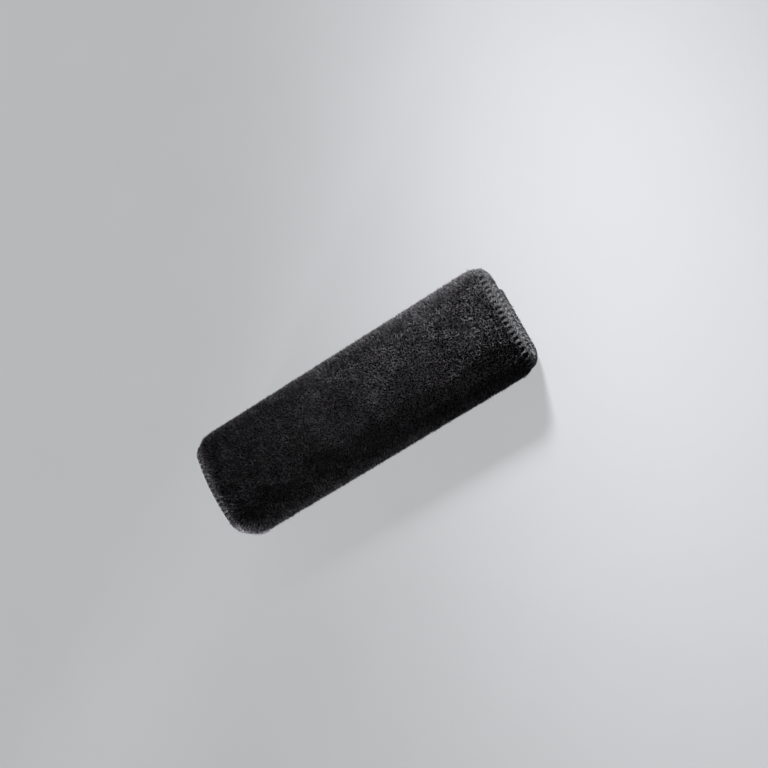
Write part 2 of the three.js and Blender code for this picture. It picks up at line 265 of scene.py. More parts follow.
def add_mesh(name, vertices, faces, uvs=None, uv_name="OFBake"):
    """A mesh object. faces is a list of arrays of corners, one array for each number of corners in a face."""
    corners = np.concatenate([group.ravel() for group in faces])
    totals = np.concatenate([np.full(len(group), group.shape[1]) for group in faces])
    mesh = bpy.data.meshes.new(name)
    mesh.vertices.add(len(vertices))
    mesh.vertices.foreach_set("co", np.asarray(vertices, np.float32).ravel())
    mesh.loops.add(len(corners))
    mesh.loops.foreach_set("vertex_index", corners.astype(np.int32))
    mesh.polygons.add(len(totals))
    mesh.polygons.foreach_set("loop_start", (np.cumsum(totals) - totals).astype(np.int32))
    mesh.polygons.foreach_set("use_smooth", np.full(len(totals), True))
    if uvs is not None:
        layer = mesh.uv_layers.new(name=uv_name)
        layer.uv.foreach_set("vector", np.concatenate(uvs).astype(np.float32).ravel())
    mesh.update(calc_edges=True)
    mesh.validate()
    piece = bpy.data.objects.new(name, mesh)
    bpy.context.scene.collection.objects.link(piece)
    return piece


def join_shells(shells):
    """One set of vertices, faces and UVs from several."""
    vertices, faces, uvs, start = [], {}, {}, 0
    for shell_vertices, shell_faces, shell_uvs in shells:
        vertices.append(shell_vertices)
        for group, group_uvs in zip(shell_faces, shell_uvs):
            faces.setdefault(group.shape[1], []).append(group + start)
            uvs.setdefault(group.shape[1], []).append(group_uvs)
        start += len(shell_vertices)
    sizes = sorted(faces)
    return (
        np.concatenate(vertices),
        [np.concatenate(faces[size]) for size in sizes],
        [np.concatenate(uvs[size]) for size in sizes],
    )


def sheet_shell(inner, outer, first, second):
    """A closed sheet between two grids of points. first and second are its UVs along rows and columns."""
    rows, columns = inner.shape[:2]
    number = np.arange(rows * columns).reshape(rows, columns)
    top = number + rows * columns

    def quads(grid, flip):
        a, b, c, d = grid[:-1, :-1], grid[:-1, 1:], grid[1:, 1:], grid[1:, :-1]
        corners = (a, d, c, b) if flip else (a, b, c, d)
        return np.stack(corners, axis=-1).reshape(-1, 4)

    def wall(low, high, flip):
        a, b, c, d = low[:-1], low[1:], high[1:], high[:-1]
        corners = (a, d, c, b) if flip else (a, b, c, d)
        return np.stack(corners, axis=-1)

    faces = np.concatenate([
        quads(number, False),
        quads(top, True),
        wall(number[0], top[0], True),
        wall(number[-1], top[-1], False),
        wall(number[:, 0], top[:, 0], False),
        wall(number[:, -1], top[:, -1], True),
    ])
    grid_uvs = np.stack(np.meshgrid(first, second, indexing="ij"), axis=-1).reshape(-1, 2)
    uvs = np.concatenate([grid_uvs, grid_uvs])[faces.ravel()]
    return np.concatenate([inner.reshape(-1, 3), outer.reshape(-1, 3)]), [faces], [uvs]


# A direction that no thread starts along
OFF_EVERY_THREAD = (0.3, 0.5, 0.8)


def line_frames(points):
    """Directions along a line of points, and two across it that turn as little as they can."""
    ahead = np.gradient(points, axis=0)
    ahead /= np.linalg.norm(ahead, axis=1, keepdims=True)
    side = np.cross(ahead[0], OFF_EVERY_THREAD)
    sides = []
    for direction in ahead:
        side = side - direction * np.dot(side, direction)
        side /= np.linalg.norm(side)
        sides.append(side)
    sides = np.array(sides)
    return ahead, sides, np.cross(ahead, sides)


def tube_shell(points, radius, sides, steps_per_repeat):
    """A closed tube along points. Its UVs run round it and along it, and start again at each repeat."""
    _, side, up = line_frames(points)
    angles = np.arange(sides) * 2 * np.pi / sides
    rings = points[:, None] + radius * (
        np.cos(angles)[None, :, None] * side[:, None] + np.sin(angles)[None, :, None] * up[:, None]
    )
    count = len(points)
    ring, corner = np.meshgrid(np.arange(count - 1), np.arange(sides), indexing="ij")
    following = (corner + 1) % sides
    faces = np.stack([
        ring * sides + corner,
        ring * sides + following,
        (ring + 1) * sides + following,
        (ring + 1) * sides + corner,
    ], axis=-1).reshape(-1, 4)
    low = (ring % steps_per_repeat) / steps_per_repeat
    high = low + 1 / steps_per_repeat
    left, right = corner / sides, (corner + 1) / sides
    uvs = np.stack([left, low, right, low, right, high, left, high], axis=-1).reshape(-1, 2)
    caps = np.array([np.arange(sides)[::-1], (count - 1) * sides + np.arange(sides)])
    return rings.reshape(-1, 3), [faces, caps], [uvs, np.zeros((2 * sides, 2))]


def fibre_shell(spines, radii, tones, heights, rng):
    """Closed three-sided fibres, each tapering to a point. Their UVs are a tone and a height up the pile."""
    count, places = spines.shape[:2]
    ahead = spines[:, -1] - spines[:, 0]
    side = np.cross(ahead, rng.normal(size=(count, 3)))
    side /= np.linalg.norm(side, axis=1, keepdims=True)
    up = np.cross(ahead, side)
    up /= np.linalg.norm(up, axis=1, keepdims=True)
    angles = np.arange(3) * 2 * np.pi / 3
    corners = np.cos(angles)[:, None] * side[:, None] + np.sin(angles)[:, None] * up[:, None]
    rings = [spines[:, place, None] + radii[:, place, None, None] * corners for place in range(places - 1)]
    vertices = np.concatenate(rings + [spines[:, -1:]], axis=1)
    template = [(0, 2, 1)]
    for low in range(0, 3 * (places - 2), 3):
        for corner in range(3):
            here, following = low + corner, low + (corner + 1) % 3
            template += [(here, following, following + 3), (here, following + 3, here + 3)]
    last, tip = 3 * (places - 2), 3 * (places - 1)
    template += [(last + corner, last + (corner + 1) % 3, tip) for corner in range(3)]
    template = np.array(template)
    faces = (np.arange(count)[:, None, None] * vertices.shape[1] + template).reshape(-1, 3)
    vertex_heights = np.repeat(heights, 3)[: 3 * (places - 1)]
    vertex_heights = np.append(vertex_heights, heights[-1])
    uvs = np.stack([
        np.repeat(tones, template.size),
        np.tile(vertex_heights[template.ravel()], count),
    ], axis=-1)
    return vertices.reshape(-1, 3), [faces], [uvs]


# Materials

def linear(colour):
    """The linear colour of an sRGB hex value."""
    parts = [(colour >> shift & 255) / 255 for shift in (16, 8, 0)]
    return tuple(
        part / 12.92 if part <= 0.04045 else ((part + 0.055) / 1.055) ** 2.4
        for part in parts
    ) + (1,)


def add_node(tree, kind, settings=None, inputs=None):
    """A node with its settings, and its sockets set to values or linked to other nodes' outputs."""
    node = tree.nodes.new(kind)
    for name, value in (settings or {}).items():
        setattr(node, name, value)
    for name, value in (inputs or {}).items():
        if isinstance(value, bpy.types.NodeSocket):
            tree.links.new(value, node.inputs[name])
        else:
            node.inputs[name].default_value = value
    return node


def new_material(name):
    material = bpy.data.materials.new(name)
    material.use_nodes = True
    material.node_tree.nodes.clear()
    return material, material.node_tree


def finish_material(tree, shader_inputs):
    shader = add_node(tree, "ShaderNodeBsdfPrincipled", inputs=shader_inputs)
    add_node(tree, "ShaderNodeOutputMaterial", inputs={"Surface": shader.outputs["BSDF"]})


def finish_in_relief(tree, pattern, low, high, strength, depth, shader_inputs, invert=False):
    """A finish that goes from a low colour to a high one with a pattern, and has its relief from it too. The
    darker colour is painted shade: in the relief's hollows for the threads, lining, foam and tapes, and
    between the tufts for the pile's roots.
    """
    colour = add_node(tree, "ShaderNodeMix", {"data_type": "RGBA"}, {
        0: pattern,
        6: linear(low),
        7: linear(high),
    })
    bump = add_node(tree, "ShaderNodeBump", {"invert": invert}, {
        "Height": pattern,
        "Strength": strength,
        "Distance": depth,
    })
    finish_material(tree, {
        "Base Color": colour.outputs[2],
        "Normal": bump.outputs["Normal"],
        **shader_inputs,
    })


def polyester_cut_pile():
    """Polyester pile, knitted, cut and sheared: black, with painted shade darkening the fibres towards their
    roots and painted highlights that turn their tips grey.
    """
    material, tree = new_material("polyester_cut_pile")
    place = add_node(tree, "ShaderNodeUVMap", {"uv_map": "OFBake"})
    parts = add_node(tree, "ShaderNodeSeparateXYZ", inputs={"Vector": place.outputs["UV"]})
    # Painted highlight: each tip goes from black to pale grey with its fibre's tone, the U of OFBake.
    tip = add_node(tree, "ShaderNodeMix", {"data_type": "RGBA"}, {
        0: parts.outputs["X"],
        6: linear(0x0C0C0C),
        7: linear(0xACA9B0),
    })
    # Painted shade: below 0.9 of the way up the fibres darken, and below 0.6 they are the roots' near black.
    rise = add_node(tree, "ShaderNodeMapRange", {"interpolation_type": "SMOOTHSTEP"}, {
        "Value": parts.outputs["Y"],
        "From Min": 0.6,
        "From Max": 0.9,
    })
    colour = add_node(tree, "ShaderNodeMix", {"data_type": "RGBA"}, {
        0: rise.outputs["Result"],
        6: linear(0x080808),
        7: tip.outputs[2],
    })
    finish_material(tree, {
        "Base Color": colour.outputs[2],
        "Roughness": 0.34,
        "IOR": 1.6,
        "Specular IOR Level": 0.06,
    })
    return material


def pile_roots():
    """The pile's roots and the knitted backing under them: dull black, partly the cloth's own and partly
    painted shade, darkest between the tufts.
    """
    material, tree = new_material("pile_roots")
    place = add_node(tree, "ShaderNodeTexCoord")
    # The knitted loops that hold the tufts are 1.2 mm apart.
    tufts = add_node(tree, "ShaderNodeTexVoronoi", inputs={
        "Vector": place.outputs["Object"],
        "Scale": 1 / (1.2 * MM),
    })
    finish_in_relief(
        tree,
        tufts.outputs["Distance"],
        low=0x0C0C0C,
        high=0x040404,
        strength=0.8,
        depth=0.5 * MM,
        shader_inputs={"Roughness": 0.9, "Specular IOR Level": 0.1},
    )
    return material


def textured_looper_thread():
    """Crimped polyester yarn, bulky so that it fills out a seam: soft charcoal, matt, with fine filaments."""
    material, tree = new_material("textured_looper_thread")
    place = add_node(tree, "ShaderNodeUVMap", {"uv_map": "OFBake"})
    # The real filaments are 0.02 mm thick, and are drawn as a few wavy bands on the thread so that they show.
    filaments = add_node(tree, "ShaderNodeTexWave", {"bands_direction": "DIAGONAL"}, {
        "Vector": place.outputs["UV"],
        "Scale": 1.6,
        "Distortion": 2.5,
        "Detail": 2.0,
        "Detail Scale": 6.0,
    })
    finish_in_relief(
        tree,
        filaments.outputs["Fac"],
        low=0x29292B,
        high=0x525256,
        strength=0.5,
        depth=0.1 * MM,
        shader_inputs={"Roughness": 0.62, "IOR": 1.55, "Sheen Weight": 0.2, "Sheen Roughness": 0.5},
    )
    return material


def brushed_tricot_lining():
    """Warp-knitted polyester, lightly brushed: smooth black, fine ribs along the pad and a faint sheen."""
    material, tree = new_material("brushed_tricot_lining")
    place = add_node(tree, "ShaderNodeUVMap", {"uv_map": "cloth"})
    # The real wales are 0.35 mm apart, and are drawn twice as coarse so that they show.
    wales = add_node(tree, "ShaderNodeTexWave", {"bands_direction": "Y"}, {
        "Vector": place.outputs["UV"],
        "Scale": 1 / (0.7 * MM) / 20 * 2 * np.pi,
        "Distortion": 0.6,
    })
    finish_in_relief(
        tree,
        wales.outputs["Fac"],
        low=0x17171A,
        high=0x262629,
        strength=0.4,
        depth=0.15 * MM,
        shader_inputs={"Roughness": 0.6, "Sheen Weight": 0.15},
    )
    return material


def polyurethane_foam():
    """Open-celled polyurethane foam, sliced to a sheet: dark grey and dull, with small pits."""
    material, tree = new_material("polyurethane_foam")
    place = add_node(tree, "ShaderNodeTexCoord")
    # The cells are 0.6 mm across.
    cells = add_node(tree, "ShaderNodeTexVoronoi", inputs={
        "Vector": place.outputs["Object"],
        "Scale": 1 / (0.6 * MM),
    })
    finish_in_relief(
        tree,
        cells.outputs["Distance"],
        low=0x2A2A2C,
        high=0x48484B,
        strength=0.6,
        depth=0.3 * MM,
        shader_inputs={"Roughness": 0.95},
    )
    return material


def napped_loop_tape():
    """Nylon loop tape, woven and napped: matt black, covered in fine tangled loops."""
    material, tree = new_material("napped_loop_tape")
    place = add_node(tree, "ShaderNodeTexCoord")
    # The loops are 0.5 mm across.
    loops = add_node(tree, "ShaderNodeTexNoise", inputs={
        "Vector": place.outputs["Object"],
        "Scale": 1 / (0.5 * MM),
        "Detail": 4.0,
        "Distortion": 1.5,
    })
    finish_in_relief(
        tree,
        loops.outputs["Fac"],
        low=0x0E0E10,
        high=0x27272A,
        strength=0.9,
        depth=0.4 * MM,
        shader_inputs={"Roughness": 0.8, "Sheen Weight": 0.2},
    )
    return material


def woven_hook_tape():
    """Nylon hook tape, woven and heat-set: black and slightly shiny, with its hooks in close rows."""
    material, tree = new_material("woven_hook_tape")
    place = add_node(tree, "ShaderNodeTexCoord")
    # The hooks stand 1.1 mm apart.
    hooks = add_node(tree, "ShaderNodeTexVoronoi", inputs={
        "Vector": place.outputs["Object"],
        "Scale": 1 / (1.1 * MM),
        "Randomness": 0.15,
    })
    finish_in_relief(
        tree,
        hooks.outputs["Distance"],
        low=0x2E2E31,
        high=0x121214,
        strength=0.8,
        depth=0.4 * MM,
        shader_inputs={"Roughness": 0.42, "IOR": 1.53},
        invert=True,
    )
    return material


# The camera, as it was fitted to the photograph: 50 mm on a 36 mm frame, above the pad and past its right end
CAMERA_LENS = 50
SENSOR_WIDTH = 36
CAMERA_AT = Vector((227.7, -114.5, 647.8)) * MM
CAMERA_AIM = Vector((22.5, 4.2, 20.9)) * MM
CAMERA_UP = Vector((0.500, 0.866, 0.000))


def look_from(place, aim, up):
    """The world matrix of a camera or lamp at a place, which looks at a point with a direction upwards."""
    back = (place - aim).normalized()
    right = up.cross(back).normalized()
    turn = Matrix((right, back.cross(right), back)).transposed()
    return Matrix.Translation(place) @ turn.to_4x4()


def add_camera():
    data = bpy.data.cameras.new("camera")
    data.lens = CAMERA_LENS
    data.sensor_width = SENSOR_WIDTH
    data.clip_start = 10 * MM
    camera = bpy.data.objects.new("camera", data)
    camera.matrix_world = look_from(CAMERA_AT, CAMERA_AIM, CAMERA_UP)
    bpy.context.scene.collection.objects.link(camera)
    bpy.context.scene.camera = camera


def add_lamp(name, place, aim, size, spread, power):
    """A flat lamp, with its size in metres, its spread in degrees and its power in watts."""
    data = bpy.data.lights.new(name, "AREA")
    data.shape = "RECTANGLE"
    data.size, data.size_y = size
    data.spread = np.radians(spread)
    data.energy = power
    lamp = bpy.data.objects.new(name, data)
    lamp.matrix_world = look_from(Vector(place), Vector(aim), Vector((0, 0, 1)))
    bpy.context.scene.collection.objects.link(lamp)


def add_light():
    """A key lamp on the far side, aimed past the pad's right end so that its light falls off to the left, a
    low one along the far side, and a faint one that grazes the left end and its near corner."""
    add_lamp(
        "key_lamp",
        place=(0.50, 1.00, 0.70),
        aim=(0.195, 0.02, 0.03),
        size=(0.22, 0.22),
        spread=20,
        power=1.15,
    )
    add_lamp(
        "far_side_lamp",
        place=(0.10, 1.30, 0.42),
        aim=(0.02, 0, 0.02),
        size=(0.9, 0.2),
        spread=60,
        power=0.25,
    )
    add_lamp(
        "left_end_lamp",
        place=(-0.80, -0.36, 0.06),
        aim=(-0.145, -0.035, 0.02),
        size=(0.1, 0.1),
        spread=9,
        power=0.13,
    )


# How strongly the floor and what is round it show to the camera, where 1 is white, and how strongly what is
# round it lights the pad
SEEN_STRENGTH = 0.62
LIGHTING_STRENGTH = 0.27

FLOOR_HALF = 4.0
FLOOR_CLEARANCE = 0.3 * MM


def pale_world():
    """Surroundings that the camera sees pale, and that light the pad dimly."""
    world = bpy.data.worlds.new("pale_world")
    world.use_nodes = True
    tree = world.node_tree
    tree.nodes.clear()
    path = add_node(tree, "ShaderNodeLightPath")
    colour = linear(0xE8EAEE)
    seen = add_node(tree, "ShaderNodeBackground", inputs={"Color": colour, "Strength": SEEN_STRENGTH})
    unseen = add_node(tree, "ShaderNodeBackground", inputs={"Color": colour, "Strength": LIGHTING_STRENGTH})
    surface = add_node(tree, "ShaderNodeMixShader", inputs={
        0: path.outputs["Is Camera Ray"],
        1: unseen.outputs["Background"],
        2: seen.outputs["Background"],
    })
    add_node(tree, "ShaderNodeOutputWorld", inputs={"Surface": surface.outputs["Shader"]})
    bpy.context.scene.world = world


def pale_floor():
    """Pale matt studio floor. The camera sees it pale, and it throws little light back up at the pad."""
    material, tree = new_material("pale_floor")
    path = add_node(tree, "ShaderNodeLightPath")
    place = add_node(tree, "ShaderNodeTexCoord")
    grain = add_node(tree, "ShaderNodeTexNoise", inputs={
        "Vector": place.outputs["Object"],
        "Scale": 1 / (60 * MM),
        "Detail": 3.0,
    })
    pale = add_node(tree, "ShaderNodeMix", {"data_type": "RGBA"}, {
        0: grain.outputs["Fac"],
        6: linear(0xD9DADC),
        7: linear(0xDEDFE1),
    })
    seen = add_node(tree, "ShaderNodeBsdfDiffuse", inputs={"Color": linear(0x646466)})
    unseen = add_node(tree, "ShaderNodeBsdfDiffuse", inputs={"Color": linear(0x404042)})
    glow = add_node(tree, "ShaderNodeEmission", inputs={
        "Color": pale.outputs[2],
        "Strength": SEEN_STRENGTH,
    })
    lit = add_node(tree, "ShaderNodeAddShader", inputs={0: seen.outputs["BSDF"], 1: glow.outputs["Emission"]})
    surface = add_node(tree, "ShaderNodeMixShader", inputs={
        0: path.outputs["Is Camera Ray"],
        1: unseen.outputs["BSDF"],
        2: lit.outputs["Shader"],
    })
    add_node(tree, "ShaderNodeOutputMaterial", inputs={"Surface": surface.outputs["Shader"]})
    return material


def add_floor():
    half = FLOOR_HALF
    below = cad_box[0].z - FLOOR_CLEARANCE
    vertices = [(-half, -half, below), (half, -half, below), (half, half, below), (-half, half, below)]
    floor = add_mesh("floor", vertices, [np.array([[0, 1, 2, 3]])])
    floor.data.materials.append(pale_floor())


# The plush

# The bed's height as a share of the pile's, and the size of its faces
BED_SHARE = 0.72
BED_STEP = 2.6 * MM

# How near to the cut edges the fibres stand, and how far they stay above what the pad lies on
PLUSH_EDGE = 1.3 * MM
REST_CLEARANCE = 0.05 * MM

# How far apart the fibres stand, how far they stray from that as a share of it, how thick they are and how
# much that varies, and how far up the pile they start. The real ones stand closer and are finer: these are as
# coarse as a model of the whole pad can carry.
FIBRE_SPACING = 0.42 * MM
UNDER_FIBRE_SPACING = 0.62 * MM
FLAP_FIBRE_SPACING = 0.8 * MM
FIBRE_SCATTER = 0.42
FIBRE_RADIUS = 0.22 * MM
FIBRE_RADIUS_RANGE = (0.8, 1.2)
FIBRE_HEIGHTS = (0.62, 1)

# The tufts that the fibres gather in, numbered on a square of cells that is larger than the pad, and where in
# its cell a tuft may stand
TUFT_SPACING = 0.9 * MM
TUFT_CELLS = 560
TUFT_SCATTER = (0.1, 0.9)

# The stray fibres that stand out of the pile: how many of the pile's spacings lie between them, their
# lengths, where along one its points are and how thick it is there, and how much more painted highlight their
# tips get than the pile's
STRAY_SPACINGS = 5
STRAY_LENGTH_RANGE = (1.02, 1.15)
STRAY_HEIGHTS = (0.5, 0.82, 1)
STRAY_RADII = (0.14 * MM, 0.11 * MM)
STRAY_TONE = 0.25

# How they lean: any way, and beside an end towards it, but not far past it
STRAY_LEAN = 0.9 * MM
STRAY_END_LEAN = 0.9 * MM
STRAY_END_START = 14 * MM
STRAY_END_RISE = 8 * MM
STRAY_OVERHANG = 0.6 * MM

# The strips that the pile is made in, and how far apart their fibres stand. Those that the pad lies on are
# sparser.
PILE_STRIPS = [
    ("pile_under_narrow_fold", UNDER_FIBRE_SPACING),
    ("pile_narrow_fold", FIBRE_SPACING),
    ("pile_front_far_side", FIBRE_SPACING),
    ("pile_front_near_side", FIBRE_SPACING),
    ("pile_wide_fold", FIBRE_SPACING),
    ("pile_under_wide_fold", UNDER_FIBRE_SPACING),
    ("pile_outer_flap", FLAP_FIBRE_SPACING),
]

# The wavelengths of what varies over the pad: how it is brushed, its patches of painted shade, and the line
# of the crease where the near side's painted shade begins
BRUSHED_ALONG_WAVE = 38 * MM
BRUSHED_ACROSS_WAVE = 30 * MM
SHADE_WAVE = 11 * MM
CREASE_WAVE = 25 * MM

# Where the nap changes, and the painted light and shade on it: beside the end seams, at the near side's
# corner with the left end, past the crease on the near side, where painted shade stands for the front turning
# away from the lamps, and on the far side, where painted shade darkens the tips, except beside the left end
LEFT_EDGE_RUN = 6 * MM
RIGHT_EDGE_RUN = 5 * MM
CORNER_LENGTH = 20 * MM
CORNER_START_Y = 25 * MM
CORNER_RUN = 8 * MM
CREASE_Y = 16 * MM
CREASE_WANDER = 2.5 * MM
CREASE_RUN = 3 * MM
FAR_SIDE_START_Y = 18 * MM
FAR_SIDE_RUN = 10 * MM
FAR_SIDE_START_SHARE = -1.1
FAR_SIDE_SHARE_RUN = 0.5

# How the fibres lean, all over and then in those places
TUFT_LEAN = 0.42 * MM
TUFT_GATHERING = 0.6
FIBRE_LEAN = 0.1 * MM
BRUSHED_LEAN = 0.5 * MM
RIGHT_EDGE_LEAN = 1.6 * MM
LEFT_EDGE_LEAN = 0.3 * MM
CORNER_LEAN = (1.2 * MM, -2.0 * MM)

# How their heights differ: by tuft, by fibre, from the middle of a tuft to its edge, and at the corner
TUFT_HEIGHT = 0.28 * MM
FIBRE_HEIGHT = 0.12 * MM
TUFT_CROWN = 0.6
TUFT_FALL = 1.2
CORNER_RISE = 1.3

# Their tones, which are painted highlights on the tips: by tuft, which falls off from its middle to its edge,
# by the patches of painted shade, by fibre, and a painted glint for the few that shine; then the painted
# light that the left edge and the corner add, and the share of painted shade that the crease and the far side
# take away, which rises towards the right end
TUFT_TONE = 0.66
TUFT_TONE_POWER = 2.1
TUFT_MIDDLE = 1.4
TUFT_EDGE_FALL = 1.6
SHADE_TONE = 0.5
UNEVEN_TONE = 0.3
UNEVEN_POWER = 4
PAINTED_GLINT_TONE = 0.9
PAINTED_GLINT_SHARE = 0.06
LEFT_EDGE_PAINTED_LIGHT = 0.3
CORNER_PAINTED_LIGHT = 0.25
CORNER_TUFT_PAINTED_LIGHT = 0.8
CREASE_SHADOW = 0.62
CREASE_SHADOW_RISE = 0.16
FAR_SIDE_SHADOW = 0.6


def even_places(start, end, step):
    return np.linspace(start, end, max(2, int(round((end - start) / step)) + 1))


def plush_bed():
    """The plush's knitted backing and the closed lower part of its pile, as one dark sheet, partly the
    cloth's black and partly painted shade.
    """
    cut = 1 - CUT_EDGE / HALF_LENGTH
    first_tip, last_tip = distance_to(np.array([CUT_EDGE, PATH_LENGTH - CUT_EDGE]), TIP_DEPTH)
    along = along_from(even_places(first_tip, last_tip, BED_STEP), TIP_DEPTH)
    share = even_places(-cut, cut, BED_STEP / HALF_LENGTH)
    along_grid, share_grid = np.meshgrid(along, share, indexing="ij")
    inner = wall_point(along_grid, PLUSH_DEPTH, share_grid)
    outer = wall_point(along_grid, PILE_DEPTH + BED_SHARE * pile_height(along_grid, share_grid), share_grid)
    shell = sheet_shell(inner, outer, along / PATH_LENGTH, (share + 1) / 2)
    piece = add_mesh("plush_bed", *shell, uv_name="cloth")
    piece.data.materials.append(pile_roots())
    return piece


def scattered(first_range, second_range, spacing, rng):
    """Places in rows a spacing apart, each row shifted by half of one, with some scatter."""
    first = np.arange(first_range[0], first_range[1], spacing)
    second = np.arange(second_range[0], second_range[1], spacing)
    rows, columns = np.meshgrid(first, second, indexing="ij")
    columns = columns + (np.arange(len(first)) % 2)[:, None] * spacing / 2
    places = np.stack([rows.ravel(), columns.ravel()], axis=-1)
    return places + rng.uniform(-FIBRE_SCATTER, FIBRE_SCATTER, places.shape) * spacing


def nearest_tuft(places, tuft_scatter):
    """The tuft that each place belongs to: its centre, and a number for it."""
    cells = np.floor(places / TUFT_SPACING).astype(int) + TUFT_CELLS // 2
    best = np.full(len(places), np.inf)
    centres = np.zeros_like(places)
    numbers = np.zeros(len(places), int)
    for row_step in (-1, 0, 1):
        for column_step in (-1, 0, 1):
            row, column = cells[:, 0] + row_step, cells[:, 1] + column_step
            cell = np.stack([row, column], axis=-1) - TUFT_CELLS // 2
            centre = (cell + tuft_scatter[row, column]) * TUFT_SPACING
            away = np.linalg.norm(centre - places, axis=1)
            closer = away < best
            best[closer] = away[closer]
            centres[closer] = centre[closer]
            numbers[closer] = (row * TUFT_CELLS + column)[closer]
    return centres, numbers


def spines_of(places, lean, height, fractions):
    """Points up each fibre, from its root out to its tip. A fibre bends over by its lean."""
    spines = []
    for fraction in fractions:
        distance = places[:, 0] + lean[:, 0] * fraction ** 2
        across = places[:, 1] + lean[:, 1] * fraction ** 2
        along = along_from(distance, TIP_DEPTH)
        spines.append(wall_point(along, PILE_DEPTH + height * fraction, across / HALF_LENGTH))
    spines = np.stack(spines, axis=1)
    spines[..., 2] = np.maximum(spines[..., 2], REST_CLEARANCE)
    return spines


class Nap:
    """How the pile lies: brushed towards the left, uneven over the width of a hand, and gathered in tufts. A
    fibre's tone, from 0 to 1, is painted light: how bright a highlight its tip is painted with."""

    def __init__(self, rng):
        self.rng = rng
        self.brushed_along = random_waves(rng, BRUSHED_ALONG_WAVE)
        self.brushed_across = random_waves(rng, BRUSHED_ACROSS_WAVE)
        self.shade = random_waves(rng, SHADE_WAVE)
        self.crease = random_waves(rng, CREASE_WAVE)
        self.tuft_scatter = rng.uniform(*TUFT_SCATTER, (TUFT_CELLS, TUFT_CELLS, 2))
        self.tuft_lean = rng.normal(0, TUFT_LEAN, (TUFT_CELLS ** 2, 2))
        self.tuft_height = rng.normal(0, TUFT_HEIGHT, TUFT_CELLS ** 2)
        self.tuft_tone = rng.random(TUFT_CELLS ** 2) ** TUFT_TONE_POWER

    def fibres(self, places):
        """The lean, height and tone of the fibres at these places."""
        centres, tufts = nearest_tuft(places, self.tuft_scatter)
        distance, across = places.T
        along = along_from(distance, TIP_DEPTH)
        y, _, out_y, _ = on_path(along)
        tip_y = y + out_y * TIP_DEPTH
        from_left, from_right = HALF_LENGTH + across, HALF_LENGTH - across
        left_edge = 1 - smooth_step((from_left - PILE_EDGE) / LEFT_EDGE_RUN)
        right_edge = 1 - smooth_step((from_right - PILE_EDGE) / RIGHT_EDGE_RUN)
        corner = smooth_step(1 - from_left / CORNER_LENGTH)
        corner *= smooth_step((-tip_y - CORNER_START_Y) / CORNER_RUN)
        flat_height = pile_height(along, across / HALF_LENGTH)
        springy = clamp01(flat_height / PILE)

        lean = self.lean(places, centres, tufts)
        lean[:, 1] += RIGHT_EDGE_LEAN * right_edge - LEFT_EDGE_LEAN * left_edge
        lean += np.outer(corner, CORNER_LEAN)
        lean *= springy[:, None]

        from_middle = np.linalg.norm(centres - places, axis=1) / TUFT_SPACING
        uneven = self.tuft_height[tufts] + self.rng.normal(0, FIBRE_HEIGHT, len(places))
        height = flat_height + springy * uneven
        height += springy * (TUFT_CROWN - TUFT_FALL * from_middle ** 2 + CORNER_RISE * corner) * MM

        tone = self.tone(places, tufts, from_middle)
        # Painted shade past the near side's crease and on the far side
        tone *= self.shadow(distance, across, tip_y, left_edge, corner)
        # Painted light on the tips beside the left end seam, and more at the near side's corner with the left
        # end, varying by tuft
        tone += LEFT_EDGE_PAINTED_LIGHT * left_edge + corner * (CORNER_PAINTED_LIGHT + CORNER_TUFT_PAINTED_LIGHT * self.tuft_tone[tufts])
        return lean, height, clamp01(tone)

    def lean(self, places, centres, tufts):
        """How far the tips lean along the wall and along X: by tuft, towards its middle, and as brushed."""
        distance, across = places.T
        lean = self.tuft_lean[tufts] + TUFT_GATHERING * (centres - places)
        lean += self.rng.normal(0, FIBRE_LEAN, places.shape)
        lean[:, 0] += BRUSHED_LEAN * self.brushed_along(distance, across)
        lean[:, 1] += BRUSHED_LEAN * self.brushed_across(distance, across) + BRUSHED_LEAN
        return lean

    def tone(self, places, tufts, from_middle):
        """The tips' painted highlights: by tuft, brightest in its middle, and a painted glint on a few
        fibres.
        """
        tone = self.tuft_tone[tufts] * clamp01(TUFT_MIDDLE - TUFT_EDGE_FALL * from_middle)
        # Patches of painted shade over the highlights
        tone *= 1 + SHADE_TONE * self.shade(*places.T)
        uneven = self.rng.random(len(places)) ** UNEVEN_POWER
        # A painted glint on a few fibres' tips
        painted_glint = self.rng.random(len(places)) < PAINTED_GLINT_SHARE
        return TUFT_TONE * tone + UNEVEN_TONE * uneven + PAINTED_GLINT_TONE * painted_glint

    def shadow(self, distance, across, tip_y, left_edge, corner):
        """Painted shade: what is left of the tones past the near side's crease, where the front turns away
        from the lamps, and on the far side.
        """
        share = across / HALF_LENGTH
        crease = CREASE_Y - CREASE_WANDER * self.crease(distance, across)
        past_crease = smooth_step((-tip_y - crease) / CREASE_RUN)
        near_side = (CREASE_SHADOW + CREASE_SHADOW_RISE * share) * past_crease
        near_side *= (1 - left_edge) * (1 - corner)
        far_side = FAR_SIDE_SHADOW * smooth_step((tip_y - FAR_SIDE_START_Y) / FAR_SIDE_RUN)
        far_side *= smooth_step((share - FAR_SIDE_START_SHARE) / FAR_SIDE_SHARE_RUN)
        return (1 - near_side) * (1 - far_side)


